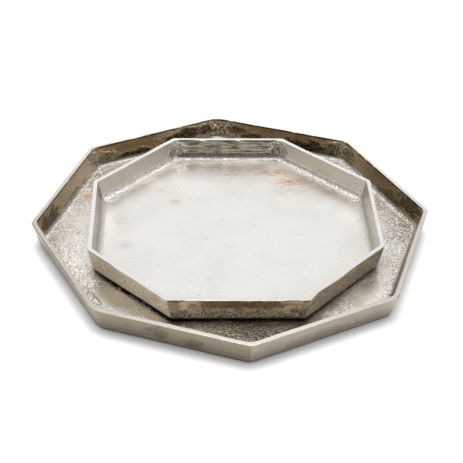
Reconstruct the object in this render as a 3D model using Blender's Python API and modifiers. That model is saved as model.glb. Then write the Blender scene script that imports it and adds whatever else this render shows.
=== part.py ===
"""A nesting pair of octagonal metal trays, each one casting on four thin felt pads.

Units are metres and +Z is up. The origin is on the table, under the middle of the large tray,
whose corners point along X and Y. The small tray lies loose on the large tray's floor, turned
and a little off centre, and lifts straight out.
"""

from dataclasses import dataclass
from math import cos, pi, radians, sin, tan

import bmesh
import bpy

# Driving dimensions
SIDES = 8
TOUCH_GAP = 0.0003  # left between two pieces that touch

TRAY_HEIGHT = 0.028  # underside of the casting to its ground rim
FLOOR_THICK = 0.005
FOOT_FILLET = 0.004  # where the inner wall meets the floor
BASE_ROUND = 0.0015  # round of the outer bottom edge
RIM_ROUND = 0.0008  # broken edges of the ground rim

PAD_THICK = 0.001
PAD_RADIUS = 0.010
PADS_PER_TRAY = 4
PAD_RING = 0.71  # radius of the ring of pads, as a share of the base's corner radius

SMALL_TURN = radians(19.7)  # of the small tray about +Z, from the large one's corners
SMALL_OFFSET = (0.0015, -0.0023)  # of the small tray's middle, in X and Y

# Facets of the rounded edges
CORNER_SEGMENTS = 5
FILLET_SEGMENTS = 3
ROUND_SEGMENTS = 2
PAD_FACETS = 24

RIM_ANGLE = radians(60)  # only the two edges of the ground rim are sharper than this
SMOOTH_ANGLE = radians(35)
CUTTER_RISE = 0.010  # how far the cavity's cutter stands above the rim


@dataclass
class TraySize:
    """One tray. Corner radii reach from the axis to the octagon's corners, before rounding."""

    name: str
    rim_radius: float
    base_radius: float
    rim_width: float  # wall thickness at the rim, across the wall
    foot_width: float  # wall thickness at the floor's level
    outer_corner: float  # plan radius of the outer corners
    inner_corner: float

    def outer_radius(self, height):
        """Corner radius of the outside at a height above the underside."""
        flare = (self.rim_radius - self.base_radius) / TRAY_HEIGHT
        return self.base_radius + flare * height

    def inner_radius(self, height):
        """Corner radius of the cavity at a height above the underside."""
        at_floor = self.outer_radius(FLOOR_THICK) - self.foot_width / cos(pi / SIDES)
        at_rim = self.rim_radius - self.rim_width / cos(pi / SIDES)
        flare = (at_rim - at_floor) / (TRAY_HEIGHT - FLOOR_THICK)
        return at_floor + flare * (height - FLOOR_THICK)


LARGE = TraySize("large", 0.2200, 0.2125, 0.0050, 0.0060, 0.009, 0.013)
SMALL = TraySize("small", 0.1705, 0.1650, 0.0046, 0.0050, 0.005, 0.009)

# Levels, from the table up
LARGE_BASE = PAD_THICK + TOUCH_GAP
LARGE_FLOOR = LARGE_BASE + FLOOR_THICK
SMALL_PADS = LARGE_FLOOR + TOUCH_GAP
SMALL_BASE = SMALL_PADS + PAD_THICK + TOUCH_GAP


def clear_scene():
    for old in list(bpy.data.objects):
        bpy.data.objects.remove(old)


def new_collection(name):
    group = bpy.data.collections.new(name)
    bpy.context.scene.collection.children.link(group)
    return group


def new_material(name, colour, roughness, metallic):
    material = bpy.data.materials.new(name)
    material.use_nodes = True
    shader = material.node_tree.nodes["Principled BSDF"]
    shader.inputs["Base Color"].default_value = (*colour, 1.0)
    shader.inputs["Roughness"].default_value = roughness
    shader.inputs["Metallic"].default_value = metallic
    return material


def place(thing, group, parent):
    """Moves an object into its collection, and hangs it on its tray's empty."""
    for holder in list(thing.users_collection):
        holder.objects.unlink(thing)
    group.objects.link(thing)
    thing.parent = parent


def tray_empty(name, location, turn, group):
    """The frame of one tray, at the middle of its underside. The small one's is on the lift axis."""
    empty = bpy.data.objects.new(name, None)
    empty.empty_display_size = 0.05
    empty.location = location
    empty.rotation_euler = (0, 0, turn)
    group.objects.link(empty)
    return empty


def octagon_block(name, low, high, low_radius, high_radius, corner, edge_round, segments):
    """A flared octagonal block with rounded upright corners and a rounded bottom edge."""
    mesh = bpy.data.meshes.new(name)
    bm = bmesh.new()
    bmesh.ops.create_cone(
        bm, cap_ends=True, segments=SIDES, radius1=low_radius, radius2=high_radius, depth=high - low
    )
    bmesh.ops.translate(bm, verts=bm.verts, vec=(0, 0, (low + high) / 2))
    middle = (low + high) / 2
    upright = [e for e in bm.edges if (e.verts[0].co.z - middle) * (e.verts[1].co.z - middle) < 0]
    bmesh.ops.bevel(
        bm,
        geom=upright,
        offset=corner * tan(pi / SIDES),
        offset_type="OFFSET",
        segments=CORNER_SEGMENTS,
        profile=0.5,
        affect="EDGES",
    )
    bottom = [e for e in bm.edges if max(v.co.z for v in e.verts) < low + edge_round / 10]
    bmesh.ops.bevel(
        bm,
        geom=bottom,
        offset=edge_round,
        offset_type="OFFSET",
        segments=segments,
        profile=0.5,
        affect="EDGES",
    )
    bmesh.ops.recalc_face_normals(bm, faces=bm.faces)
    bm.to_mesh(mesh)
    bm.free()
    mesh.shade_smooth()
    mesh.set_sharp_from_angle(angle=SMOOTH_ANGLE)
    return bpy.data.objects.new(name, mesh)


def make_tray(size, material, parent, parts, cutters):
    """The casting: a flared block, hollowed by a cutter, with its rim's edges broken."""
    tray = octagon_block(
        size.name + "_tray",
        0,
        TRAY_HEIGHT,
        size.outer_radius(0),
        size.outer_radius(TRAY_HEIGHT),
        size.outer_corner,
        BASE_ROUND,
        ROUND_SEGMENTS,
    )
    tray.data.materials.append(material)
    place(tray, parts, parent)

    top = TRAY_HEIGHT + CUTTER_RISE
    cavity = octagon_block(
        size.name + "_cavity",
        FLOOR_THICK,
        top,
        size.inner_radius(FLOOR_THICK),
        size.inner_radius(top),
        size.inner_corner,
        FOOT_FILLET,
        FILLET_SEGMENTS,
    )
    cavity.display_type = "WIRE"
    cavity.hide_render = True
    place(cavity, cutters, parent)

    hollow = tray.modifiers.new("hollow", "BOOLEAN")
    hollow.operation = "DIFFERENCE"
    hollow.object = cavity
    rim = tray.modifiers.new("rim", "BEVEL")
    rim.limit_method = "ANGLE"
    rim.angle_limit = RIM_ANGLE
    rim.width = RIM_ROUND
    rim.segments = ROUND_SEGMENTS


def make_pads(size, material, parent, parts):
    """Felt discs in a ring under the corners, just below the casting's underside."""
    ring = PAD_RING * size.base_radius
    for number in range(PADS_PER_TRAY):
        angle = 2 * pi * (number + 0.5) / PADS_PER_TRAY
        bpy.ops.mesh.primitive_cylinder_add(
            vertices=PAD_FACETS,
            radius=PAD_RADIUS,
            depth=PAD_THICK,
            location=(ring * cos(angle), ring * sin(angle), -TOUCH_GAP - PAD_THICK / 2),
        )
        pad = bpy.context.object
        pad.name = f"{size.name}_tray_pad_{number + 1}"
        pad.data.materials.append(material)
        place(pad, parts, parent)


def main():
    clear_scene()
    parts = new_collection("nesting_octagonal_trays")
    cutters = new_collection("cutters")
    cast_metal = new_material("cast_metal", (0.63, 0.60, 0.55), 0.35, 1.0)
    felt = new_material("felt", (0.05, 0.05, 0.05), 0.95, 0.0)
    for size, location, turn in (
        (LARGE, (0, 0, LARGE_BASE), 0),
        (SMALL, (*SMALL_OFFSET, SMALL_BASE), SMALL_TURN),
    ):
        frame = tray_empty(size.name + "_tray_frame", location, turn, parts)
        make_tray(size, cast_metal, frame, parts, cutters)
        make_pads(size, felt, frame, parts)
    bpy.context.view_layer.update()


main()
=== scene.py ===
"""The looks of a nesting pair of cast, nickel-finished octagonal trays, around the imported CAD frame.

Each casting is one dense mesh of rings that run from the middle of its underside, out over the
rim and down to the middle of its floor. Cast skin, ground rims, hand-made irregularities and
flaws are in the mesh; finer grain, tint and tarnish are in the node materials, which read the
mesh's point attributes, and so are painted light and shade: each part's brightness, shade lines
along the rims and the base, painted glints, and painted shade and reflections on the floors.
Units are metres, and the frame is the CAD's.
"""

from dataclasses import dataclass
from math import ceil, cos, inf, pi, radians, sin, tan

import bpy
import numpy as np
from mathutils import Matrix, Vector, noise


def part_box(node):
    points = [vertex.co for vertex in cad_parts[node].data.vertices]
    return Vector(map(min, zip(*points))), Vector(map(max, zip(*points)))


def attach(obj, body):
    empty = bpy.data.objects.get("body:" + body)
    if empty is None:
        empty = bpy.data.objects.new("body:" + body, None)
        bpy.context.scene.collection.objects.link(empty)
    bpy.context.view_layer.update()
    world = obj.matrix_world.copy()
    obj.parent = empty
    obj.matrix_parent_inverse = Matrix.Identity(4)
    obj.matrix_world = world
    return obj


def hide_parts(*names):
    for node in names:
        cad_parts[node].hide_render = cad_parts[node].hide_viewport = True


MM = 0.001

# Camera
CAMERA_TARGET = (0.0, 0.0, 0.0013)
CAMERA_DISTANCE = 1.4045
CAMERA_AZIMUTH = radians(-5.95)
CAMERA_ELEVATION = radians(35.354)
CAMERA_ROLL = radians(1.515)
CAMERA_LENS = 97.97  # mm
CAMERA_SENSOR = 36.0  # mm
CAMERA_SHIFT_Y = 0.0118

# Studio: a white dome that is dark and warm towards the camera, with a softbox high at the back.
# Pairs are where a fade starts and where it is complete, along one part of a direction.
DOME_SIDES = (0.95, 0.95, 0.95, 1.0)
DOME_BACK = (1.18, 1.18, 1.18, 1.0)
BACK_FROM_X = (0.15, 0.40)  # the bright back ends this far to either side
BACK_FROM_Y = (-0.1, 0.6)
DARK_SIDE = (0.25, 0.235, 0.215, 1.0)
CAMERA_SIDE = (-0.104, -0.995, 0.0)
DARK_FADE = (0.50, 0.85)  # of how nearly a level direction is CAMERA_SIDE
DARK_TOP = (0.88, 0.97)
SOFTBOX_WAY = (0.0, 0.10, 0.995)
SOFTBOX_FADE = (0.950, 0.985)  # of how nearly a direction is SOFTBOX_WAY
SOFTBOX_LEVEL = 7.0
LAMP_ANGLE = radians(30)
LAMPS = ((SOFTBOX_WAY, 0.3), ((-0.10, -0.80, 0.60), 0.6))  # way to each, and strength
WHITE_LEVEL = 1.4  # what the camera sees beyond the paper
PAPER_SIZE = 8.0  # the studio floor is a sheet of pale paper
PAPER_COLOUR = (0.962, 0.97, 0.985, 1.0)
PAPER_ROUGHNESS = 0.9
PAPER_SPECULAR = 0.1

# Section of the castings
SIDES = 8
SECTOR = 2 * pi / SIDES
TRAY_HEIGHT = 0.028
FLOOR_THICK = 0.005
BASE_ROUND = 0.0015
RIM_ROUND = 0.0004
ROUNDEST = 0.97  # largest plan radius of a ring's corners, as a share of its apothem
ROUNDING_LEAD = 0.0008  # how far outside the rim's flat rings their corners start to grow rounder

# Pads, and levels from the table up
TOUCH_GAP = 0.0003  # left between two pieces that touch
PADS_PER_TRAY = 4
PAD_THICK = 0.001
PAD_RADIUS = 0.010
PAD_EDGE = 0.00035  # how far in the pad's rounded edge reaches
PAD_EDGE_POINTS = 7
PAD_RINGS = (0.15, 0.35, 0.55, 0.75, 0.9)  # of its flat faces, as shares of its radius
PAD_STATIONS = 64
FUZZ_HEIGHT = 0.00006
FUZZ_SIZE = 0.0011
FUZZ_INSET = 0.00005  # keeps the fuzz off the neighbouring pieces
LARGE_BASE = PAD_THICK + TOUCH_GAP
SMALL_BASE = LARGE_BASE + FLOOR_THICK + TOUCH_GAP + PAD_THICK + TOUCH_GAP

# Mesh density
STATIONS = 896  # points round the outside of a casting
CROWDING = 0.45  # how much closer together they stand at the corners
NUDGE = 1e-9  # puts a point that stands on a corner on the side after it
WALL_STEP = 0.0017
OUTER_STEP = 1.5 * WALL_STEP
RIM_STEP = 0.0012
ROUND_SEGMENTS = 4
FILLET_SEGMENTS = 6
LIP_LINE = 0.0014  # how far a painted shade line reaches down from the rim
LIP_FADE = 0.0005  # how much further it takes to fade out
CRISP = 0.0002  # how far from a rim's rounded edges the next ring is, so that flat faces stay flat
FLOOR_STEP = 1.3  # as a share of the stations' spacing
FLOOR_THINNING = 0.52  # the stations halve each time the floor's rings shrink to this share
FLOOR_FEWEST = 20  # stations
FLOOR_SMALLEST = 0.0015  # apothem of the innermost ring
UNDERSIDE_STEP = 0.007
UNDERSIDE_SMALLEST = 0.006
UNDERSIDE_CORE = 0.050  # apothem of the part with the fewest stations
UNDERSIDE_STATIONS = 112  # at least, outside the core
CORE_STATIONS = 28  # at least, inside it

# Relief of the cast metal: heights, and sizes of the features
SWELL_HEIGHT = 0.00025
SWELL_SIZE = 0.045
PEBBLE_HEIGHT = 0.00013
PEBBLE_SIZE = 0.0045
STREAK_HEIGHT = 0.00007
STREAK_SIZE = 0.0026
STREAK_LENGTH = 14  # times as long as they are wide
WAVE_HEIGHT = 0.00030
WAVE_SIZE = 0.030
FLOOR_SWELL = 0.15  # share of the swells that the floor keeps
FLOOR_PEBBLE = 0.2
UNDERSIDE_RELIEF = 0.2
RIM_REACH = 0.004  # how far down the walls the rim's waves and knocks reach
LEAN_POWER = 1.5  # of the share of the wall's height, so that a lean gathers towards the rim

# Marks on the metal. Pairs are where a mark starts and where it is full.
RAGGED_SIZE = 0.011  # of the noise that tears the outlines of marks
RAGGED_SQUASH = (1, 1, 2.4)
SPOT_TEAR = 0.5  # how much of the noise is added to a spot
SPOT_TORN = (0.03, 0.30)  # noise is added where there is this much of a spot
SPOT_DARK = (0.28, 0.60)
SPOT_GRAIN = (0.05, 0.40)
PATCHY_SIZE = 0.035
PATCHY_GRAIN = (-0.15, 0.35)
PLAIN_GRAIN = 0.06  # of rims and clean walls
ROUGH_GRAIN = 0.55  # what a rough spot adds to the floor
FOOT_LEAST_GRAIN = 0.25
UNDERSIDE_GRAIN = 0.8
BESIDE_WALL = (0.001, 0.009)  # the strip of grain along the wall's foot ends this far from it
BESIDE_TEAR = 0.003
POLISH_CORE = (0.25, 0.85)
POLISH_TEAR = 0.12
POLISHED_AWAY = 0.6  # share of the grain that polish takes off
# how much the painted floor shade darkens and browns the metal
FLOOR_SHADE_DARK = 0.58
FLOOR_SHADE_FILM = 0.6
SMUDGE_FILM = 0.4
# how much the painted light brightens the floor
PAINTED_LIGHT_GAIN = 0.36
# painted shade on the underside, which darkens the gap under each tray
UNDERSIDE_PAINTED_SHADE = 0.35
LINE_FADE = 0.03  # how long a line along a rim takes to fade, as a share of the side
LINE_BREAKS = (-0.75, -0.30)
LINE_BREAK_SIZE = 0.009
STREAK_ENDS = (0.36, 0.47)  # from the middle of a side, as a share of it
OUTER_STREAK = 0.15

# Zones of a casting's surface
UNDERSIDE, BASE_EDGE, OUTER, RIM_OUTER, RIM, RIM_INNER, INNER, FOOT, FLOOR = range(9)
OUTSIDE = (OUTER, BASE_EDGE)
GROUND = (RIM, RIM_OUTER, RIM_INNER)
NO_SIDE = -1


@dataclass
class TraySize:
    """One tray. Corner 0 points at `turn` from +X, and side k runs from corner k to corner k+1."""

    name: str
    body: str
    centre: tuple
    base: float
    turn: float
    rim_radius: float
    base_radius: float
    rim_width: float
    foot_width: float
    foot_fillet: float
    outer_corner: float
    inner_corner: float
    foot_corner: float
    dense_floor: float  # the outer part of the floor with the closest rings
    corner_shift: tuple  # for each corner, in mm: X and Y at the base, X and Y at the rim
    corner_growth: tuple  # for each corner, how much rounder it is than the rest
    bowed: tuple  # (side, ((share, mm), ...)) of each side along which the rim leans in
    dents: tuple  # (side, share, half width as a share, depth in mm) of knocks in the rim
    patches: tuple  # (side, share, height in mm, half share, half mm, darkness, grain) inside
    outer_patches: tuple  # the same on the outside
    stains: tuple  # (X mm, Y mm, half X, half Y, strength) on the floor
    rough_floor: tuple  # the same, for grain
    painted_shade_floor: tuple  # the same, for painted shade: brown darkening that paints the walls' shade and reflections on the floor
    polished_floor: tuple  # the same, for burnished places
    painted_light_floor: tuple  # the same, for painted light: places of the floor drawn brighter
    floor_grain: tuple  # even and patchy grain of the floor
    floor_film: tuple  # brown film on the floor: even, mottled, and on its painted bright places
    film_reach: float  # how far from the wall the even film reaches
    foot_grain: tuple  # grain at the foot of each side's wall and on the floor beside it
    foot_painted_light: tuple  # painted light and shade: how much brighter or darker the foot of each wall is drawn
    wall_film: tuple  # brown film on the inner wall of each side
    outer_film: tuple  # the same on its outer wall
    wall_painted_light: tuple  # painted light and shade: how much brighter or darker each inner wall is drawn
    outer_painted_light: tuple  # the same for each outer wall
    rim_film: tuple  # brown film on the rim of each side
    rim_painted_light: tuple  # painted light and shade of the rim, at each corner
    streaked_inside: int  # the side whose inner wall is streaked
    streaked_outside: int
    painted_shade_lines: tuple  # (zone, side, from share, to share, strength) of painted shade lines along rims
    rusty_edges: tuple  # the same for rust
    painted_base_shade: tuple  # strength of painted shade at the base's round edge, for each side

    def outer_apothem(self, height):
        flare = (self.rim_radius - self.base_radius) / TRAY_HEIGHT
        return (self.base_radius + flare * height) * cos(SECTOR / 2)


LARGE = TraySize(
    name="large_tray",
    body="large_tray_body",
    centre=(0.0, 0.0),
    base=LARGE_BASE,
    turn=0.0,
    rim_radius=0.2200,
    base_radius=0.2125,
    rim_width=0.0050,
    foot_width=0.0060,
    foot_fillet=0.0040,
    outer_corner=0.009,
    inner_corner=0.011,
    foot_corner=0.013,
    dense_floor=0.040,
    corner_shift=(
        (0.4, -0.3, 0.4, -0.3),
        (-0.3, -0.9, -0.3, -0.9),
        (-0.2, 0.7, -0.2, 0.7),
        (0.0, 0.3, 0.0, 0.3),
        (0.2, 0.7, 0.2, 0.7),
        (2.2, -0.1, 2.2, -0.1),
        (-0.5, -1.2, -0.5, -1.2),
        (-0.1, 0.6, -0.1, 0.6),
    ),
    corner_growth=(1.0, 1.0, 1.0, 1.0, 1.0, 2.4, 1.4, 1.2),
    bowed=(),
    dents=(
        (2, 0.67, 0.030, 0.5),
        (2, 0.62, 0.008, 0.5),
        (3, 0.35, 0.007, 0.7),
        (1, 0.89, 0.008, 0.8),
        (1, 0.97, 0.020, 0.3),
        (4, 0.30, 0.010, 0.3),
    ),
    patches=(
        (2, 0.72, 10, 0.17, 5, 1.0, 0.4),
        (2, 0.25, 17, 0.22, 7, 1.0, 0.4),
        (2, 0.33, 15, 0.09, 8, 0.8, 0.2),
        (2, 0.52, 7, 0.14, 3, 0.8, 0.4),
        (2, 0.93, 11, 0.08, 9, 0.45, 0.6),
        (2, 0.05, 15, 0.07, 14, 0.10, 1.0),
        (1, 0.96, 15, 0.09, 14, 0.15, 1.0),
        (1, 0.84, 20, 0.07, 5, 0.9, 0.5),
        (1, 0.72, 14, 0.10, 4, 0.9, 0.4),
        (1, 0.30, 12, 0.24, 9, 1.0, 0.3),
        (1, 0.36, 15, 0.07, 8, 0.7, 0.1),
        (1, 0.10, 13, 0.10, 9, 0.7, 0.5),
        (1, 0.05, 14, 0.06, 12, 0.25, 1.0),
        (0, 0.93, 14, 0.08, 12, 0.45, 0.8),
        (0, 0.36, 12, 0.15, 9, 0.60, 0.3),
        (0, 0.14, 20, 0.14, 8, 0.75, 0.4),
        (3, 0.06, 17, 0.07, 12, 0.25, 0.8),
        (3, 0.45, 8, 0.24, 4, 0.50, 0.3),
        (3, 0.84, 15, 0.16, 10, 0.78, 0.3),
        (4, 0.50, 14, 0.30, 7, 0.5, 0.6),
        (5, 0.30, 14, 0.20, 7, 0.6, 0.7),
        (6, 0.60, 14, 0.25, 7, 0.6, 0.7),
        (7, 0.40, 12, 0.40, 7, 0.7, 0.8),
    ),
    outer_patches=(
        (5, 0.42, 15, 0.08, 9, 0.36, 0.1),
        (5, 0.64, 11, 0.07, 8, 0.36, 0.1),
        (6, 0.45, 10, 0.25, 6, 0.12, 0.2),
        (0, 0.40, 12, 0.14, 9, 0.18, 0.1),
        (2, 0.65, 12, 0.18, 9, 0.18, 0.1),
        (3, 0.25, 14, 0.12, 9, 0.18, 0.1),
    ),
    stains=(
        (-157, 82, 6, 10, 0.7),
        (-170, 60, 12, 22, 0.22),
        (-180, 20, 9, 24, 0.18),
        (170, 40, 8, 18, 0.3),
        (90, 150, 20, 8, 0.4),
    ),
    rough_floor=(
        (2, -184, 44, 28, 1.0),
        (-184, -50, 26, 60, 0.8),
        (-150, 110, 40, 50, 0.9),
        (184, -10, 22, 70, 0.9),
        (100, -168, 40, 10, 0.5),
    ),
    painted_shade_floor=(
        (2, -172, 60, 30, 1.0),
        (195, 5, 12, 60, 0.32),
        (176, 52, 16, 20, 0.30),
        (201, 12, 8, 14, 1.0),
        (167, -60, 14, 16, 0.22),
        (-158, 117, 14, 14, 0.58),
        (-172, 85, 14, 20, 0.28),
        (-196, 8, 9, 20, 0.35),
    ),
    polished_floor=(
        (-130, -100, 36, 30, 1.0),
        (-80, -136, 34, 24, 1.0),
    ),
    painted_light_floor=(
        (-174, -64, 20, 36, 0.55),
        (-122, -106, 30, 26, 1.2),
        (-80, -136, 34, 24, 1.4),
        (128, -120, 36, 30, 1.0),
        (84, -147, 36, 20, 1.1),
    ),
    floor_grain=(0.22, 0.30),
    floor_film=(0.11, 0.08, 0.12),
    film_reach=inf,
    foot_grain=(0.6, 0.4, 0.3, 0.7, 0.9, 0.6, 0.6, 0.7),
    foot_painted_light=(1.0, 0.78, 0.72, 1.0, 1.0, 1.0, 1.0, 1.0),
    wall_film=(1.0, 1.0, 1.0, 0.65, 0.8, 0.9, 0.9, 0.9),
    outer_film=(0.5, 0.5, 0.5, 0.5, 0.58, 0.65, 0.45, 0.5),
    wall_painted_light=(0.96, 1.08, 1.24, 1.28, 1.0, 1.0, 1.0, 1.0),
    outer_painted_light=(0.70, 0.85, 0.85, 0.85, 0.48, 0.53, 0.64, 0.65),
    rim_film=(0.1, 0.0, 0.0, 0.25, 0.35, 0.25, 0.25, 0.25),
    rim_painted_light=(0.94, 1.30, 1.4, 1.04, 0.85, 0.82, 1.15, 0.88),
    streaked_inside=NO_SIDE,
    streaked_outside=NO_SIDE,
    painted_shade_lines=(
        (RIM_INNER, 0, 0.0, 1.0, 0.85),
        (RIM_INNER, 1, 0.0, 1.0, 1.0),
        (RIM_INNER, 2, 0.0, 1.0, 1.0),
        (RIM_INNER, 3, 0.0, 1.0, 0.8),
        (RIM_INNER, 6, 0.92, 1.1, 0.95),
        (RIM_INNER, 7, -0.1, 0.4, 0.7),
        (RIM_OUTER, 7, -0.1, 0.07, 1.0),
        (RIM_OUTER, 4, -0.1, 0.75, 0.85),
        (RIM_OUTER, 7, -0.1, 1.1, 0.35),
    ),
    rusty_edges=((RIM_OUTER, 4, -0.1, 0.60, 0.8), (RIM_OUTER, 3, 0.80, 1.1, 0.5)),
    painted_base_shade=(0.6,) * SIDES,
)
SMALL = TraySize(
    name="small_tray",
    body="small_tray_body",
    centre=(0.0015, -0.0023),
    base=SMALL_BASE,
    turn=radians(-25.3),
    rim_radius=0.1705,
    base_radius=0.1650,
    rim_width=0.0046,
    foot_width=0.0050,
    foot_fillet=0.0055,
    outer_corner=0.005,
    inner_corner=0.006,
    foot_corner=0.011,
    dense_floor=0.032,
    corner_shift=(
        (0.8, 1.0, 0.8, 1.0),
        (1.5, -1.7, 1.5, -1.7),
        (-0.8, -0.1, -0.8, -0.1),
        (-0.7, 0.8, -0.7, 0.8),
        (1.2, -0.6, 1.2, -0.6),
        (0.7, -2.6, 0.7, -2.6),
        (-5.9, 2.6, -8.0, 2.6),
        (4.0, 0.6, 5.4, 0.2),
    ),
    corner_growth=(1.0,) * SIDES,
    bowed=(
        (7, ((0.0, 0.0), (0.13, 2.9), (0.27, 1.7), (0.40, 1.0), (0.54, 1.6), (0.67, 1.3), (1.0, 0.0))),
    ),
    dents=(
        (6, 0.08, 0.012, 0.6),
        (6, 0.66, 0.010, 0.3),
        (3, 0.04, 0.010, 0.3),
        (7, 0.42, 0.012, 0.4),
    ),
    patches=(
        (2, 0.50, 10.4, 0.60, 1.5, 1.0, 0.3),
        (2, 0.97, 14, 0.06, 12, 0.2, 1.0),
        (2, 0.04, 16, 0.05, 12, 0.6, 1.0),
        (3, 0.04, 12, 0.05, 10, 0.2, 0.9),
        (4, 0.02, 10, 0.08, 9, 0.5, 0.7),
        (1, 0.97, 12, 0.05, 10, 0.2, 0.8),
    ),
    outer_patches=(
        (6, 0.48, 22, 0.42, 6, 0.66, 0.1),
        (6, 0.03, 14, 0.09, 16, 0.58, 0.0),
        (6, 0.97, 14, 0.09, 16, 0.55, 0.0),
        (6, 0.48, 7, 0.50, 7, 0.0, 1.0),
        (5, 0.55, 12, 0.60, 10, 0.0, 0.50),
        (7, 0.40, 12, 0.60, 9, 0.0, 0.75),
        (1, 0.50, 12, 0.40, 8, 0.2, 0.3),
        (3, 0.40, 12, 0.40, 8, 0.2, 0.3),
    ),
    stains=(
        (79, 91, 22, 11, 1.0),
        (8, 111, 20, 6, 0.5),
        (58, 112, 22, 8, 0.9),
        (24, 121, 26, 7, 0.7),
        (76, 72, 24, 7, 0.4),
        (-60, 57, 6, 5, 0.7),
        (-70, 84, 26, 16, 0.18),
        (-124, 22, 9, 16, 0.30),
        (30, 104, 80, 24, 0.18),
    ),
    rough_floor=(),
    painted_shade_floor=(
        (100, 93, 12, 10, 0.24),
        (112, 80, 12, 10, 0.30),
        (122, 68, 12, 10, 0.46),
        (131, 54, 8, 8, 0.20),
        (14, 110, 50, 10, 0.16),
        (-118, -25, 8, 6, 0.22),
    ),
    polished_floor=(),
    painted_light_floor=(
        (0, -20, 150, 90, 0.10),
        (60, 100, 60, 26, 0.25),
        (-40, 95, 70, 30, 0.30),
        (-84, 100, 16, 14, 0.85),
        (66, 122, 16, 9, 0.50),
        (-118, 66, 14, 14, 0.25),
        (-140, 28, 12, 30, 0.85),
        (-140, -12, 10, 20, 0.30),
        (14, 108, 60, 12, 0.45),
        (137, 20, 14, 26, 0.55),
        (106, 40, 22, 14, 0.22),
    ),
    floor_grain=(0.08, 0.0),
    floor_film=(0.11, 0.0, 0.0),
    film_reach=0.026,
    foot_grain=(0.2, 0.4, 0.3, 0.45, 0.2, 0.2, 0.2, 0.2),
    foot_painted_light=(0.9, 0.9, 0.62, 1.1, 0.9, 1.0, 1.0, 1.0),
    wall_film=(0.06, 0.05, 0.35, 0.02, 0.20, 0.1, 0.1, 0.1),
    outer_film=(0.5, 0.5, 0.5, 0.5, 0.5, 0.42, 0.48, 0.80),
    wall_painted_light=(1.05, 1.05, 2.08, 0.95, 0.88, 1.0, 1.0, 1.0),
    outer_painted_light=(0.95, 0.95, 0.95, 0.95, 0.95, 1.05, 1.22, 0.61),
    rim_film=(0.0,) * SIDES,
    rim_painted_light=(1.05, 1.10, 1.15, 1.15, 1.1, 1.05, 1.0, 1.0),
    streaked_inside=2,
    streaked_outside=6,
    painted_shade_lines=(
        (RIM_INNER, 2, 0.02, 0.98, 1.0),
        (RIM_OUTER, 6, -0.1, 0.14, 0.8),
        (RIM_OUTER, 6, 0.78, 1.1, 0.7),
        (RIM_OUTER, 5, -0.1, 0.35, 0.4),
    ),
    rusty_edges=(),
    painted_base_shade=(0.8, 0.8, 0.8, 0.8, 0.8, 1.0, 0.95, 0.7),
)


# ---------------------------------------------------------------- small helpers


def smooth(low, high, values):
    """0 below low, 1 above high, with an even S between them."""
    t = np.clip((values - low) / (high - low), 0, 1)
    return t * t * (3 - 2 * t)


def grain(points, size, seed=0.0, octaves=1):
    """Smooth noise from -1 to 1 with features of about that size."""
    offset = Vector((seed * 3.7, seed * 1.3, seed * 2.1))
    total = np.zeros(len(points))
    for octave in range(octaves):
        step = 2**octave
        scaled = points * (step / size)
        total += np.array([noise.noise(Vector(p) + offset * step) for p in scaled]) / step
    return total


# ---------------------------------------------------------------- the section of a tray


def straight(start, end, step, from_start=(), from_end=()):
    """Points between start and end, no further apart than step, and some at given distances."""
    length = np.linalg.norm(end - start)
    count = max(1, ceil(length / step))
    shares = [i / count for i in range(1, count)]
    shares += [d / length for d in from_start]
    shares += [1 - d / length for d in from_end]
    return [start + (end - start) * share for share in sorted(shares)]


def arc(before, corner, after, radius, segments):
    """Rounds a corner of the section: its points and their outward normals."""
    d1 = (corner - before) / np.linalg.norm(corner - before)
    d2 = (after - corner) / np.linalg.norm(after - corner)
    turn = np.arctan2(d1[0] * d2[1] - d1[1] * d2[0], d1 @ d2)
    side = np.sign(turn)
    left = np.array([-d1[1], d1[0]])
    middle = corner - d1 * radius * tan(abs(turn) / 2) + side * radius * left
    points, normals = [], []
    for i in range(segments + 1):
        a = turn * i / segments
        turned = np.array([left[0] * cos(a) - left[1] * sin(a), left[0] * sin(a) + left[1] * cos(a)])
        points.append(middle - side * radius * turned)
        normals.append(-turned)
    return points, normals


def floor_apothems(size, start):
    """Apothem and number of stations of each ring of the floor, from the wall to the middle."""
    rings = []
    apothem, count = start, STATIONS
    limit = start - size.dense_floor
    while count > FLOOR_FEWEST:
        apothem -= FLOOR_STEP * 2 * pi * apothem / count
        if apothem < limit:
            count //= 2
            limit *= FLOOR_THINNING
        if apothem < FLOOR_SMALLEST:
            break
        rings.append((apothem, count))
    return rings


def section(size):
    """The rings of a tray: apothem, height, normal in the section, stations and zone of each."""
    rim = size.outer_apothem(TRAY_HEIGHT)
    foot = size.outer_apothem(FLOOR_THICK) - size.foot_width
    corners = [
        np.array(p)
        for p in (
            (0.0, 0.0),
            (size.outer_apothem(0), 0.0),
            (rim, TRAY_HEIGHT),
            (rim - size.rim_width, TRAY_HEIGHT),
            (foot, FLOOR_THICK),
            (0.0, FLOOR_THICK),
        )
    ]
    rounds = (
        (BASE_ROUND, ROUND_SEGMENTS, BASE_EDGE),
        (RIM_ROUND, ROUND_SEGMENTS, RIM_OUTER),
        (RIM_ROUND, ROUND_SEGMENTS, RIM_INNER),
        (size.foot_fillet, FILLET_SEGMENTS, FOOT),
    )
    lip = (CRISP, LIP_LINE, LIP_LINE + LIP_FADE)
    legs = (
        (UNDERSIDE, None, (), ()),
        (OUTER, OUTER_STEP, (), lip),
        (RIM, RIM_STEP, (CRISP,), (CRISP,)),
        (INNER, WALL_STEP, lip, ()),
    )
    rings = []
    last = corners[0]
    for i, (radius, segments, zone) in enumerate(rounds):
        points, normals = arc(corners[i], corners[i + 1], corners[i + 2], radius, segments)
        leg, step, from_start, from_end = legs[i]
        if leg == UNDERSIDE:
            rings += underside_rings(points[0][0])
        else:
            between = straight(last, points[0], step, from_start, from_end)
            rings += [(*p, *normals[0], STATIONS, leg) for p in between]
        rings += [(*p, *n, STATIONS, zone) for p, n in zip(points, normals)]
        last = points[-1]
    rings += [(a, FLOOR_THICK, 0.0, 1.0, count, FLOOR) for a, count in floor_apothems(size, last[0])]
    return np.array(rings)


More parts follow.
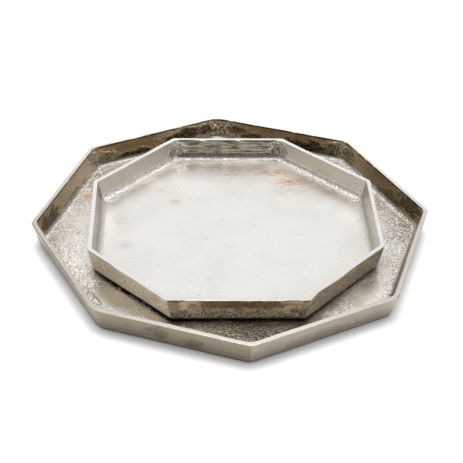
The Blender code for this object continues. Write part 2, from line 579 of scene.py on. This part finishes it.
def underside_rings(edge):
    """Coarse rings of the flat underside, from its middle to just inside its round edge."""
    rings = []
    apothem, count = edge, STATIONS
    while apothem > UNDERSIDE_SMALLEST:
        rings.append((apothem, 0.0, 0.0, -1.0, count, UNDERSIDE))
        fewest = UNDERSIDE_STATIONS if apothem > UNDERSIDE_CORE else CORE_STATIONS
        count = max(count // 2, fewest)
        apothem -= UNDERSIDE_STEP
    return rings[:0:-1]


def corner_radii(size, rings):
    """Plan radius of the corners of each ring. Rings grow rounder towards the middle of a flat face."""
    apothem, height, zone = rings[:, 0], rings[:, 1], rings[:, 5]
    foot = apothem[zone == FOOT].min()
    edge = apothem[zone == BASE_EDGE].min()
    across = (rings[zone == RIM, 0].max() + ROUNDING_LEAD - apothem) / size.rim_width
    down = np.clip((TRAY_HEIGHT - height) / (TRAY_HEIGHT - FLOOR_THICK), 0, 1)
    radius = np.full(len(rings), size.outer_corner)
    on_rim = np.isin(zone, (RIM, RIM_INNER))
    inside = np.isin(zone, (INNER, FOOT, FLOOR))
    radius[on_rim] += (size.inner_corner - size.outer_corner) * np.clip(across[on_rim], 0, 1)
    radius[inside] = size.inner_corner + (size.foot_corner - size.inner_corner) * down[inside]
    radius[zone == FLOOR] += foot - apothem[zone == FLOOR]
    radius[zone == UNDERSIDE] += edge - apothem[zone == UNDERSIDE]
    return np.minimum(radius, ROUNDEST * apothem)


# ---------------------------------------------------------------- the mesh of a tray


def station_angles(count):
    """Angles of a ring's points from corner 0, crowded towards the corners."""
    f = np.arange(count) * SIDES / count
    part = f - np.floor(f)
    return (np.floor(f) + part - CROWDING / (2 * pi) * np.sin(2 * pi * part)) * SECTOR


@dataclass
class Points:
    """Every point of a casting, in its tray's frame before shifts, with where it is on the tray."""

    side: np.ndarray
    share: np.ndarray  # along its side, 0 to 1
    apothem: np.ndarray
    height: np.ndarray
    zone: np.ndarray
    place: np.ndarray
    normal: np.ndarray


def lay_out(size, rings):
    """The points of all the rings on the plain rounded octagons."""
    counts = rings[:, 4].astype(int)
    angle = np.concatenate([station_angles(n) for n in counts])
    ring = np.repeat(np.arange(len(rings)), counts)
    apothem, height, n_out, n_up = (rings[ring, i] for i in range(4))
    zone = rings[ring, 5].astype(int)
    nearest = np.round(angle / SECTOR)
    growth = np.array(size.corner_growth)[nearest.astype(int) % SIDES]
    corner = np.minimum(corner_radii(size, rings)[ring] * growth, ROUNDEST * apothem)
    off = angle - nearest * SECTOR
    middle = (apothem - corner) / cos(SECTOR / 2)
    tangent = SECTOR / 2 - np.arctan((apothem - corner) / apothem * tan(SECTOR / 2))
    on_arc = np.abs(off) < tangent
    flat_radius = apothem / np.cos(SECTOR / 2 - np.abs(off))
    reach = np.sqrt(np.maximum(corner**2 - (middle * np.sin(off)) ** 2, 0))
    radius = np.where(on_arc, middle * np.cos(off) + reach, flat_radius)
    side = np.floor(angle / SECTOR + NUDGE).astype(int) % SIDES
    from_middle = angle - (side + 0.5) * SECTOR
    share = 0.5 + np.tan(from_middle) / (2 * tan(SECTOR / 2))
    arc_turn = np.arcsin(np.clip(radius * np.sin(off) / corner, -1, 1))
    facing = np.where(on_arc, nearest * SECTOR + arc_turn, (side + 0.5) * SECTOR)

    place = np.stack([radius * np.cos(angle), radius * np.sin(angle), height], axis=1)
    normal = np.stack([n_out * np.cos(facing), n_out * np.sin(facing), n_up], axis=1)
    return Points(side, share, apothem, height, zone, place, normal)


def shift_corners(size, points):
    """Moves each corner as the hand-made tray has it, keeping the sides straight."""
    shift = np.array(size.corner_shift) * MM
    up = np.clip(points.height / TRAY_HEIGHT, 0, 1)[:, None]
    rim = size.outer_apothem(TRAY_HEIGHT)
    at = points.share[:, None]
    after = (points.side + 1) % SIDES
    both = (1 - at) * shift[points.side] + at * shift[after]
    move = (1 - up) * both[:, :2] + up * both[:, 2:]
    turned = move * (points.apothem / rim)[:, None]
    c, s = cos(size.turn), sin(size.turn)
    points.place[:, 0] += c * turned[:, 0] + s * turned[:, 1]
    points.place[:, 1] += -s * turned[:, 0] + c * turned[:, 1]


def ring_faces(rings):
    """Quads between rings, triangles where the number of stations halves or doubles, and two fans."""
    counts = rings[:, 4].astype(int)
    starts = np.concatenate([[0], np.cumsum(counts)])
    faces = []
    for i in range(len(counts) - 1):
        a, b = starts[i], starts[i + 1]
        n, m = counts[i], counts[i + 1]
        if n == m:
            j = np.arange(n)
            k = (j + 1) % n
            faces += np.stack([a + j, b + j, b + k, a + k], axis=1)[:, ::-1].tolist()
            continue
        fine, coarse, few = (a, b, m) if n > m else (b, a, n)
        for j in range(few):
            here, after = coarse + j, coarse + (j + 1) % few
            f0, f1, f2 = (fine + (2 * j + s) % (2 * few) for s in range(3))
            fan = [(f0, f1, here), (f1, after, here), (f1, f2, after)]
            faces += [list(t) for t in (fan if n > m else [t[::-1] for t in fan])]
    first = list(range(counts[0]))
    last = [starts[-2] + j for j in range(counts[-1])]
    centres = starts[-1], starts[-1] + 1
    for j in range(len(first)):
        faces.append([centres[0], first[(j + 1) % len(first)], first[j]])
    for j in range(len(last)):
        faces.append([centres[1], last[j], last[(j + 1) % len(last)]])
    return faces


def build_tray(size, material):
    rings = section(size)
    points = lay_out(size, rings)
    shift_corners(size, points)
    marks = surface_marks(size, points)
    raise_surface(size, points, marks)

    centre_low = points.place[: int(rings[0, 4])].mean(axis=0)
    centre_high = points.place[-int(rings[-1, 4]) :].mean(axis=0)
    place = np.vstack([points.place, centre_low, centre_high])
    mesh = bpy.data.meshes.new(size.name + "_casting")
    mesh.from_pydata(place.tolist(), [], ring_faces(rings))
    mesh.shade_smooth()
    for name, values in marks.items():
        attribute = mesh.attributes.new(name, "FLOAT", "POINT")
        padded = np.concatenate([values, values[:1], values[-1:]])
        attribute.data.foreach_set("value", padded.astype(np.float32))
    mesh.transform(
        Matrix.Translation((*size.centre, size.base)) @ Matrix.Rotation(size.turn, 4, "Z")
    )
    tray = bpy.data.objects.new(mesh.name, mesh)
    bpy.context.scene.collection.objects.link(tray)
    tray.data.materials.append(material)
    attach(tray, size.body)
    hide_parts(size.name)


# ---------------------------------------------------------------- marks on the cast metal


def wall_spots(spots, points, ragged):
    """How dark and how grainy some ragged spots make the walls, at each point."""
    dark, rough = np.zeros(len(ragged)), np.zeros(len(ragged))
    for side, share, height, half_share, half_height, darkness, roughness in spots:
        across = (points.share - share) / half_share
        up = (points.height / MM - height) / half_height
        spot = np.where(points.side == side, np.exp(-(across**2) - up**2), 0.0)
        torn = spot + SPOT_TEAR * ragged * smooth(*SPOT_TORN, spot)
        dark = np.maximum(dark, darkness * smooth(*SPOT_DARK, torn))
        rough = np.maximum(rough, roughness * smooth(*SPOT_GRAIN, torn))
    return dark, rough


def edge_lines(points, edges):
    """How strongly some lines along the edges of a rim mark each point."""
    zone, side, share = points.zone, points.side, points.share
    lines = np.zeros(len(share))
    down = TRAY_HEIGHT - points.height
    below_rim = 1 - smooth(LIP_LINE, LIP_LINE + LIP_FADE, down)
    walls = {RIM_INNER: INNER, RIM_OUTER: OUTER}
    for line_zone, at_side, start, end, strength in edges:
        across = np.where(zone == line_zone, 1.0, np.where(zone == walls[line_zone], below_rim, 0.0))
        along = smooth(start, start + LINE_FADE, share) * (1 - smooth(end - LINE_FADE, end, share))
        lines = np.maximum(lines, strength * across * along * (side == at_side))
    return lines


def floor_spots(size, points, spots):
    """The strongest of some soft-edged spots on the floor, at each point."""
    c, s = cos(size.turn), sin(size.turn)
    x = (c * points.place[:, 0] - s * points.place[:, 1] + size.centre[0]) / MM
    y = (s * points.place[:, 0] + c * points.place[:, 1] + size.centre[1]) / MM
    total = np.zeros(len(x))
    for at_x, at_y, half_x, half_y, strength in spots:
        far = ((x - at_x) / half_x) ** 2 + ((y - at_y) / half_y) ** 2
        total = np.maximum(total, strength * np.exp(-far))
    return total


def pebble_mark(size, points, rough_in, rough_out, polish, from_wall, ragged):
    """How grainy the metal is."""
    zone = points.zone
    at_foot = np.array(size.foot_grain)[points.side]
    beside = at_foot * (1 - smooth(*BESIDE_WALL, from_wall + BESIDE_TEAR * ragged))
    even, patchy = size.floor_grain
    patches = smooth(*PATCHY_GRAIN, grain(points.place, PATCHY_SIZE, 2.0, 2))
    rough = even + patchy * patches + ROUGH_GRAIN * floor_spots(size, points, size.rough_floor)
    rough *= 1 - POLISHED_AWAY * polish
    pebble = np.select(
        [np.isin(zone, OUTSIDE), zone == INNER, zone == FLOOR, zone == FOOT, zone == UNDERSIDE],
        [
            PLAIN_GRAIN + (1 - PLAIN_GRAIN) * rough_out,
            PLAIN_GRAIN + (1 - PLAIN_GRAIN) * rough_in,
            np.maximum(rough, beside),
            FOOT_LEAST_GRAIN + (1 - FOOT_LEAST_GRAIN) * at_foot,
            UNDERSIDE_GRAIN,
        ],
        PLAIN_GRAIN,
    )
    return np.clip(pebble, 0, 1)


def film_and_shade_mark(size, points, dark_out, grime_and_shade, painted_bright, from_wall, ragged):
    """How much brown film lies on the metal, with the brown of the painted floor shade and of the painted
    bright places.
    """
    zone, side = points.zone, points.side
    even, mottled, on_painted_bright = size.floor_film
    near_wall = 1 - smooth(0.0, size.film_reach, from_wall)
    film_and_shade = np.select(
        [
            np.isin(zone, (UNDERSIDE, *OUTSIDE)),
            zone == INNER,
            np.isin(zone, (FLOOR, FOOT)),
            np.isin(zone, GROUND),
        ],
        [
            np.array(size.outer_film)[side] + SMUDGE_FILM * dark_out,
            np.array(size.wall_film)[side],
            even * near_wall + mottled * ragged + on_painted_bright * painted_bright + FLOOR_SHADE_FILM * grime_and_shade,
            np.array(size.rim_film)[side],
        ],
    )
    return np.clip(film_and_shade, 0, 1)


def painted_light_shade_mark(size, points, painted_bright):
    """Painted light and shade: how much brighter or darker each wall, rim corner, wall foot, painted
    bright floor place and the underside is drawn than the plain metal.
    """
    zone, side, share = points.zone, points.side, points.share
    at_corners = np.array(size.rim_painted_light)
    rim_painted_light = (1 - share) * at_corners[side] + share * at_corners[(side + 1) % SIDES]
    return np.select(
        [
            zone == INNER,
            np.isin(zone, OUTSIDE),
            np.isin(zone, GROUND),
            zone == FOOT,
            zone == UNDERSIDE,
            zone == FLOOR,
        ],
        [
            np.array(size.wall_painted_light)[side],
            np.array(size.outer_painted_light)[side],
            rim_painted_light,
            np.array(size.foot_painted_light)[side],
            UNDERSIDE_PAINTED_SHADE,
            1 + PAINTED_LIGHT_GAIN * painted_bright,
        ],
    )


def painted_edge_shade_mark(size, points):
    """Painted shade along the edges of the rims and at the round edge of the base, broken by noise."""
    at_base = np.array(size.painted_base_shade)[points.side]
    edge = np.where(points.zone == BASE_EDGE, at_base, edge_lines(points, size.painted_shade_lines))
    return edge * smooth(*LINE_BREAKS, grain(points.place, LINE_BREAK_SIZE, 3.0, 2))


def streak_mark(size, points):
    """How streaked the metal is. The streaks inside end before the corners."""
    away = 1 - smooth(*STREAK_ENDS, np.abs(points.share - 0.5))
    inside = (points.zone == INNER) & (points.side == size.streaked_inside)
    outside = np.isin(points.zone, OUTSIDE) & (points.side == size.streaked_outside)
    return np.select([inside, outside], [away, OUTER_STREAK])


def surface_marks(size, points):
    """The point attributes that the relief and the material read. All but the painted light and shade are
    from 0 to 1.
    """
    zone = points.zone
    floor = zone == FLOOR
    from_wall = points.apothem[floor].max() - points.apothem
    ragged = grain(points.place * np.array(RAGGED_SQUASH), RAGGED_SIZE, 1.0, 3)
    dark_in, rough_in = wall_spots(size.patches, points, ragged)
    dark_out, rough_out = wall_spots(size.outer_patches, points, ragged)
    grime_and_shade = floor_spots(size, points, size.painted_shade_floor)
    # painted light: places of the floor drawn brighter
    painted_bright = floor_spots(size, points, size.painted_light_floor)
    polish = np.where(floor, floor_spots(size, points, size.polished_floor), 0.0)
    polish = smooth(*POLISH_CORE, polish + POLISH_TEAR * ragged)
    stains = floor_spots(size, points, size.stains)
    return {
        "pebble": pebble_mark(size, points, rough_in, rough_out, polish, from_wall, ragged),
        # dark skin patches on the walls, and painted shade on the floor
        "skin_and_shade": np.select(
            [np.isin(zone, OUTSIDE), zone == INNER, floor], [dark_out, dark_in, FLOOR_SHADE_DARK * grime_and_shade]
        ),
        # brown film, and the brown of the painted floor shade and painted bright places
        "film_and_shade": film_and_shade_mark(size, points, dark_out, grime_and_shade, painted_bright, from_wall, ragged),
        "ground": np.isin(zone, GROUND).astype(float),
        # painted shade lines along the rims and at the base
        "edge": painted_edge_shade_mark(size, points),
        # painted light and shade of each part
        "painted_light_shade": painted_light_shade_mark(size, points, painted_bright),
        "streak": streak_mark(size, points),
        "polish": polish,
        "level": np.isin(zone, (FLOOR, FOOT)).astype(float),
        "stain": np.where(floor, stains, edge_lines(points, size.rusty_edges)),
    }


# ---------------------------------------------------------------- relief of the cast metal


def raise_surface(size, points, marks):
    """Pushes the points out of the plain shape: swells, pebbled skin, streaks and the rim's flaws."""
    place, floor = points.place, points.zone == FLOOR
    seed = size.base / MM
    height = SWELL_HEIGHT * np.where(floor, FLOOR_SWELL, 1.0) * grain(place, SWELL_SIZE, seed, 2)
    bumpy = marks["pebble"] * np.where(floor, FLOOR_PEBBLE, 1.0) * (1 - marks["polish"])
    height += PEBBLE_HEIGHT * bumpy * grain(place, PEBBLE_SIZE, seed + 1)
    stretched = place * np.array([1 / STREAK_LENGTH, 1 / STREAK_LENGTH, 1])
    height += STREAK_HEIGHT * marks["streak"] * grain(stretched, STREAK_SIZE, seed + 2, 2)
    height[points.zone == UNDERSIDE] *= UNDERSIDE_RELIEF
    waves = WAVE_HEIGHT * grain(place * np.array([1, 1, 0]), WAVE_SIZE, seed + 4, 3)
    points.place = place + points.normal * height[:, None]
    knock_rim(size, points, waves)
    lean_rim(size, points)


def knock_rim(size, points, waves):
    """Lowers the rim at its knocks, and raises or lowers it by its waves."""
    top = smooth(TRAY_HEIGHT - RIM_REACH, TRAY_HEIGHT, points.height)
    for side, share, half, depth in size.dents:
        dent = np.exp(-(((points.share - share) / half) ** 2)) * (points.side == side)
        points.place[:, 2] -= depth * MM * dent * top
    points.place[:, 2] += waves * top


def lean_rim(size, points):
    """Moves the walls in along the bowed sides, most at the rim."""
    up = np.clip(points.height / TRAY_HEIGHT, 0, 1) ** LEAN_POWER * (points.zone != FLOOR)
    for side, steps in size.bowed:
        shares, leans = zip(*steps)
        lean = np.interp(points.share, shares, leans) * MM * (points.side == side) * up
        way = (side + 0.5) * SECTOR
        points.place[:, 0] -= lean * cos(way)
        points.place[:, 1] -= lean * sin(way)


# ---------------------------------------------------------------- felt pads


def pad_section():
    """Radius, height and normal of a pad's rings, from the middle of its underside to that of its top."""
    rings = [(share * PAD_RADIUS, 0.0, 0.0, -1.0) for share in PAD_RINGS]
    for i in range(PAD_EDGE_POINTS):
        a = pi * i / (PAD_EDGE_POINTS - 1) - pi / 2
        radius = PAD_RADIUS - PAD_EDGE + PAD_EDGE * cos(a)
        rings.append((radius, PAD_THICK / 2 * (1 + sin(a)), cos(a), sin(a)))
    return rings + [(share * PAD_RADIUS, PAD_THICK, 0.0, 1.0) for share in PAD_RINGS[::-1]]


def ring_points(radius, height):
    """A pad's points at one radius and height."""
    angle = np.arange(PAD_STATIONS) * 2 * pi / PAD_STATIONS
    level = np.full(PAD_STATIONS, height)
    return np.stack([radius * np.cos(angle), radius * np.sin(angle), level], axis=1)


def build_pad(node, body, material):
    """A softly rounded felt disc where the CAD pad is."""
    low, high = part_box(node)
    centre = (low + high) / 2
    rings = pad_section()
    place = np.vstack([ring_points(radius, height) for radius, height, _, _ in rings])
    normal = np.vstack([ring_points(out, up) for _, _, out, up in rings])
    fuzz = FUZZ_HEIGHT * grain(place + np.array(centre), FUZZ_SIZE, 5.0, 2) - FUZZ_INSET
    place = place + normal * fuzz[:, None]
    ends = [(0.0, 0.0, part[:, 2].mean()) for part in (place[:PAD_STATIONS], place[-PAD_STATIONS:])]
    table = np.array([(*ring, PAD_STATIONS, UNDERSIDE) for ring in rings])
    mesh = bpy.data.meshes.new(node + "_felt")
    mesh.from_pydata(np.vstack([place, ends]).tolist(), [], ring_faces(table))
    mesh.shade_smooth()
    mesh.transform(Matrix.Translation((centre.x, centre.y, low.z)))
    pad = bpy.data.objects.new(mesh.name, mesh)
    bpy.context.scene.collection.objects.link(pad)
    pad.data.materials.append(material)
    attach(pad, body)
    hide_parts(node)


# ---------------------------------------------------------------- materials


class Graph:
    """Short calls for building a node tree."""

    def __init__(self, owner):
        owner.use_nodes = True
        self.tree = owner.node_tree

    def feed(self, socket, value):
        if isinstance(value, bpy.types.NodeSocket):
            self.tree.links.new(value, socket)
        else:
            socket.default_value = value

    def add(self, kind, inputs=(), **settings):
        node = self.tree.nodes.new(kind)
        for name, value in settings.items():
            setattr(node, name, value)
        for name, value in dict(inputs).items():
            self.feed(node.inputs[name], value)
        return node

    def attribute(self, name):
        return self.add("ShaderNodeAttribute", attribute_name=name).outputs["Fac"]

    def noise(self, vector, scale, detail=2.0, roughness=0.5):
        inputs = {"Vector": vector, "Scale": scale, "Detail": detail, "Roughness": roughness}
        return self.add("ShaderNodeTexNoise", inputs).outputs["Fac"]

    def math(self, operation, first, second=0.0, third=0.0):
        inputs = {0: first, 1: second, 2: third}
        return self.add("ShaderNodeMath", inputs, operation=operation).outputs[0]

    def vector(self, operation, first, second=None):
        inputs = {0: first} if second is None else {0: first, 1: second}
        return self.add("ShaderNodeVectorMath", inputs, operation=operation)

    def fade(self, mask, share):
        """1 where the mask is 0, and less by that share where it is 1."""
        return self.math("MULTIPLY_ADD", mask, -share, 1.0)

    def span(self, value, low, high, to_low=0.0, to_high=1.0):
        inputs = {
            "Value": value,
            "From Min": low,
            "From Max": high,
            "To Min": to_low,
            "To Max": to_high,
        }
        node = self.add("ShaderNodeMapRange", inputs, interpolation_type="SMOOTHSTEP")
        return node.outputs["Result"]

    def mix(self, factor, first, second, blend="MIX"):
        node = self.add("ShaderNodeMix", data_type="RGBA", blend_type=blend)
        colour_1, colour_2 = node.inputs[6], node.inputs[7]
        self.feed(node.inputs["Factor"], factor)
        self.feed(colour_1, first)
        self.feed(colour_2, second)
        return node.outputs[2]

    def bump(self, height, distance, strength=1.0, normal=None):
        inputs = {"Height": height, "Distance": distance, "Strength": strength}
        if normal is not None:
            inputs["Normal"] = normal
        return self.add("ShaderNodeBump", inputs).outputs["Normal"]


WALL_TINT = (0.66, 0.625, 0.55, 1.0)
FLOOR_TINT = (0.68, 0.67, 0.64, 1.0)
RIM_TINT = (0.65, 0.64, 0.62, 1.0)
FILM_TINT = (0.49, 0.375, 0.225, 1.0)
# colour of the painted glints, near-white specks standing in for sparkle
PAINTED_GLINT_TINT = (1.0, 0.98, 0.94, 1.0)
STAIN_TINT = (0.46, 0.20, 0.065, 1.0)
ALONG_WALLS = (0.09, 0.09, 1.0)  # stretches noise sideways
ALONG_X = (0.16, 1.0, 1.0)


def metal_tint(g, pits):
    """The colour of the metal before it is darkened: nickel, brown film with the painted floor shade, and
    painted glints, near-white specks that stand in for sparkle.
    """
    bare = g.fade(g.attribute("skin_and_shade"), 0.8)
    tint = g.mix(g.attribute("level"), WALL_TINT, FLOOR_TINT)
    tint = g.mix(g.attribute("ground"), tint, RIM_TINT)
    tint = g.mix(g.attribute("film_and_shade"), tint, FILM_TINT)
    # painted glints: near-white specks where the metal is grainy
    painted_glint = g.math("MULTIPLY", g.span(pits, 0.55, 0.68), g.attribute("pebble"))
    painted_glint = g.math("MULTIPLY", painted_glint, bare)
    return g.mix(painted_glint, tint, PAINTED_GLINT_TINT)


def metal_shade(g, here, cloud, pits, lines):
    """How much pits, grime, painted floor shade, streaks, dots, painted shade lines along the edges and
    the painted light and shade of each part leave of the metal's brightness.
    """
    pitted = g.math("MULTIPLY", g.span(pits, 0.38, 0.52, 1.0, 0.0), g.attribute("pebble"))
    shade = g.math("MULTIPLY_ADD", pitted, -0.70, g.span(cloud, 0.3, 0.7, 0.97, 1.03))
    # dark skin patches on the walls, and painted shade on the floor
    grime_and_shade = g.math("MULTIPLY", g.span(pits, 0.46, 0.64, 1.0, 0.60), g.attribute("skin_and_shade"))
    shade = g.math("MULTIPLY", shade, g.fade(grime_and_shade, 0.92))
    lined = g.math("MULTIPLY", g.span(lines, 0.42, 0.56, 1.0, 0.0), g.attribute("streak"))
    shade = g.math("MULTIPLY", shade, g.fade(lined, 0.78))
    dots = g.noise(here, 330.0, 1.0, 0.5)
    shade = g.math("MULTIPLY", shade, g.span(dots, 0.745, 0.80, 1.0, 0.45))
    # painted shade lines along the rims and at the base, then the painted light and shade of each part
    edge_shade = g.fade(g.attribute("edge"), 0.93)
    return g.math("MULTIPLY", shade, g.math("MULTIPLY", edge_shade, g.attribute("painted_light_shade")))


def metal_roughness(g, cloud, rusty):
    rough = g.span(cloud, 0.3, 0.7, 0.25, 0.29)
    rough = g.math("MULTIPLY_ADD", g.attribute("pebble"), 0.08, rough)
    rough = g.math("MULTIPLY_ADD", g.attribute("ground"), 0.06, rough)
    rough = g.math("MULTIPLY_ADD", g.attribute("polish"), -0.14, rough)
    return g.math("MULTIPLY_ADD", rusty, 0.20, rough)


def metal_normal(g, here, pits, lines):
    """Fine tooth everywhere, then pits and streaks where the marks put them."""
    fine = g.noise(here, 900.0, 3.0, 0.6)
    normal = g.bump(fine, 0.00006, 0.6)
    normal = g.bump(g.math("MULTIPLY", pits, g.attribute("pebble")), 0.0020, 1.0, normal)
    return g.bump(g.math("MULTIPLY", lines, g.attribute("streak")), 0.0007, 1.0, normal)


def cast_nickel():
    """Nickel over a sand casting: grainy walls, buffed floors, ground rims and a little tarnish."""
    material = bpy.data.materials.new("cast_nickel")
    g = Graph(material)
    here = g.add("ShaderNodeTexCoord").outputs["Object"]
    along_walls = g.vector("MULTIPLY", here, ALONG_WALLS).outputs["Vector"]
    along_x = g.vector("MULTIPLY", here, ALONG_X).outputs["Vector"]
    cloud = g.noise(here, 28.0, 4.0, 0.55)
    pits = g.noise(here, 540.0, 2.0, 0.6)
    lines = g.noise(along_walls, 520.0, 5.0, 0.72)
    rust = g.noise(along_x, 700.0, 3.0, 0.6)

    rusty = g.math("MULTIPLY", g.span(rust, 0.45, 0.54), g.attribute("stain"))
    tint = g.mix(1.0, metal_tint(g, pits), metal_shade(g, here, cloud, pits, lines), "MULTIPLY")
    shader = g.tree.nodes["Principled BSDF"]
    g.feed(shader.inputs["Base Color"], g.mix(rusty, tint, STAIN_TINT))
    g.feed(shader.inputs["Metallic"], 1.0)
    g.feed(shader.inputs["Roughness"], metal_roughness(g, cloud, rusty))
    g.feed(shader.inputs["Normal"], metal_normal(g, here, pits, lines))
    return material


FELT_DARK = (0.018, 0.017, 0.016, 1.0)
FELT_FIBRE = (0.075, 0.070, 0.064, 1.0)
FELT_CLOUD = (0.045, 0.042, 0.038, 1.0)


def felt():
    """Pressed dark felt with lighter fibres."""
    material = bpy.data.materials.new("felt_fibre")
    g = Graph(material)
    shader = g.tree.nodes["Principled BSDF"]
    here = g.add("ShaderNodeTexCoord").outputs["Object"]
    fibre = g.noise(here, 2600.0, 4.0, 0.7)
    cloud = g.noise(here, 300.0, 3.0, 0.6)
    tint = g.mix(g.span(fibre, 0.45, 0.72), FELT_DARK, FELT_FIBRE)
    tint = g.mix(g.span(cloud, 0.4, 0.7, 0.0, 0.4), tint, FELT_CLOUD)
    g.feed(shader.inputs["Base Color"], tint)
    g.feed(shader.inputs["Roughness"], g.span(fibre, 0.3, 0.7, 0.88, 1.0))
    g.feed(shader.inputs["Normal"], g.bump(fibre, 0.00025, 0.8))
    return material


# ---------------------------------------------------------------- studio


def dome_colour(g, way):
    """Bright at the back, dark and warm towards the camera, white at the sides."""
    axes = g.add("ShaderNodeSeparateXYZ", {"Vector": way}).outputs
    level_way = g.vector("MULTIPLY", way, (1, 1, 0)).outputs["Vector"]
    level_way = g.vector("NORMALIZE", level_way).outputs["Vector"]
    facing = g.vector("DOT_PRODUCT", level_way, CAMERA_SIDE).outputs["Value"]
    below_top = g.span(axes["Z"], *DARK_TOP, 1.0, 0.0)
    unlit = g.math("MULTIPLY", g.span(facing, *DARK_FADE), below_top)
    back = g.span(g.math("ABSOLUTE", axes["X"]), *BACK_FROM_X, 1.0, 0.0)
    back = g.math("MULTIPLY", back, g.span(axes["Y"], *BACK_FROM_Y))
    return g.mix(unlit, g.mix(back, DOME_SIDES, DOME_BACK), DARK_SIDE)


def make_world():
    """The dome and its softbox light the trays, but the camera sees plain white."""
    world = bpy.data.worlds.new("studio_dome")
    bpy.context.scene.world = world
    g = Graph(world)
    for node in list(g.tree.nodes):
        g.tree.nodes.remove(node)
    way = g.add("ShaderNodeTexCoord").outputs["Generated"]
    dome = g.add("ShaderNodeBackground", {"Color": dome_colour(g, way), "Strength": 1.0})
    towards_box = g.vector("DOT_PRODUCT", way, SOFTBOX_WAY).outputs["Value"]
    box_level = g.span(towards_box, *SOFTBOX_FADE, 0.0, SOFTBOX_LEVEL)
    softbox = g.add("ShaderNodeBackground", {"Color": (1, 1, 1, 1), "Strength": box_level})
    light = g.add("ShaderNodeAddShader", {0: dome.outputs[0], 1: softbox.outputs[0]})
    white = g.add("ShaderNodeBackground", {"Color": (1, 1, 1, 1), "Strength": WHITE_LEVEL})
    to_camera = g.add("ShaderNodeLightPath").outputs["Is Camera Ray"]
    seen = g.add("ShaderNodeMixShader", {0: to_camera, 1: light.outputs[0], 2: white.outputs[0]})
    g.add("ShaderNodeOutputWorld", {"Surface": seen.outputs[0]})


def make_lamps():
    """Broad lamps, above and towards the camera, that light the paper but leave no glare on metal."""
    for way, strength in LAMPS:
        data = bpy.data.lights.new("broad_lamp", "SUN")
        data.energy = strength
        data.angle = LAMP_ANGLE
        lamp = bpy.data.objects.new("broad_lamp", data)
        lamp.rotation_euler = Vector(way).to_track_quat("Z", "Y").to_euler()
        lamp.visible_glossy = False
        bpy.context.scene.collection.objects.link(lamp)


def make_floor():
    half = PAPER_SIZE / 2
    mesh = bpy.data.meshes.new("studio_floor")
    corners = [(-half, -half, 0), (half, -half, 0), (half, half, 0), (-half, half, 0)]
    mesh.from_pydata(corners, [], [(0, 1, 2, 3)])
    floor = bpy.data.objects.new("studio_floor", mesh)
    bpy.context.scene.collection.objects.link(floor)
    material = bpy.data.materials.new("studio_paper")
    material.use_nodes = True
    shader = material.node_tree.nodes["Principled BSDF"]
    shader.inputs["Base Color"].default_value = PAPER_COLOUR
    shader.inputs["Roughness"].default_value = PAPER_ROUGHNESS
    shader.inputs["Specular IOR Level"].default_value = PAPER_SPECULAR
    floor.data.materials.append(material)


def make_camera():
    az, el, roll = CAMERA_AZIMUTH, CAMERA_ELEVATION, CAMERA_ROLL
    back = Vector((sin(az) * cos(el), -cos(az) * cos(el), sin(el)))
    right = Vector((cos(az), sin(az), 0.0))
    up = back.cross(right)
    x = cos(roll) * right + sin(roll) * up
    y = cos(roll) * up - sin(roll) * right
    turn = Matrix((x, y, back)).transposed()
    data = bpy.data.cameras.new("camera")
    data.lens = CAMERA_LENS
    data.sensor_width = CAMERA_SENSOR
    data.shift_y = CAMERA_SHIFT_Y
    camera = bpy.data.objects.new("camera", data)
    place = Vector(CAMERA_TARGET) + back * CAMERA_DISTANCE
    camera.matrix_world = Matrix.Translation(place) @ turn.to_4x4()
    bpy.context.scene.collection.objects.link(camera)
    bpy.context.scene.camera = camera


# ---------------------------------------------------------------- the scene

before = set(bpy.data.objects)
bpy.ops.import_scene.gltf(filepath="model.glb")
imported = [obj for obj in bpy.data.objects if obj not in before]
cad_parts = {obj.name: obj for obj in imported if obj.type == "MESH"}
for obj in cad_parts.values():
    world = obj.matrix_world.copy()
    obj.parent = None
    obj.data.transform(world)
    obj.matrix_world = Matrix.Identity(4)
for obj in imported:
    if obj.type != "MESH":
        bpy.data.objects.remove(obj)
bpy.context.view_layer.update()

metal = cast_nickel()
pads = felt()
for tray_size in (LARGE, SMALL):
    build_tray(tray_size, metal)
    for number in range(PADS_PER_TRAY):
        build_pad(f"{tray_size.name}_pad_{number + 1}", tray_size.body, pads)

make_world()
make_lamps()
make_floor()
make_camera()
bpy.context.scene.view_settings.view_transform = "Standard"
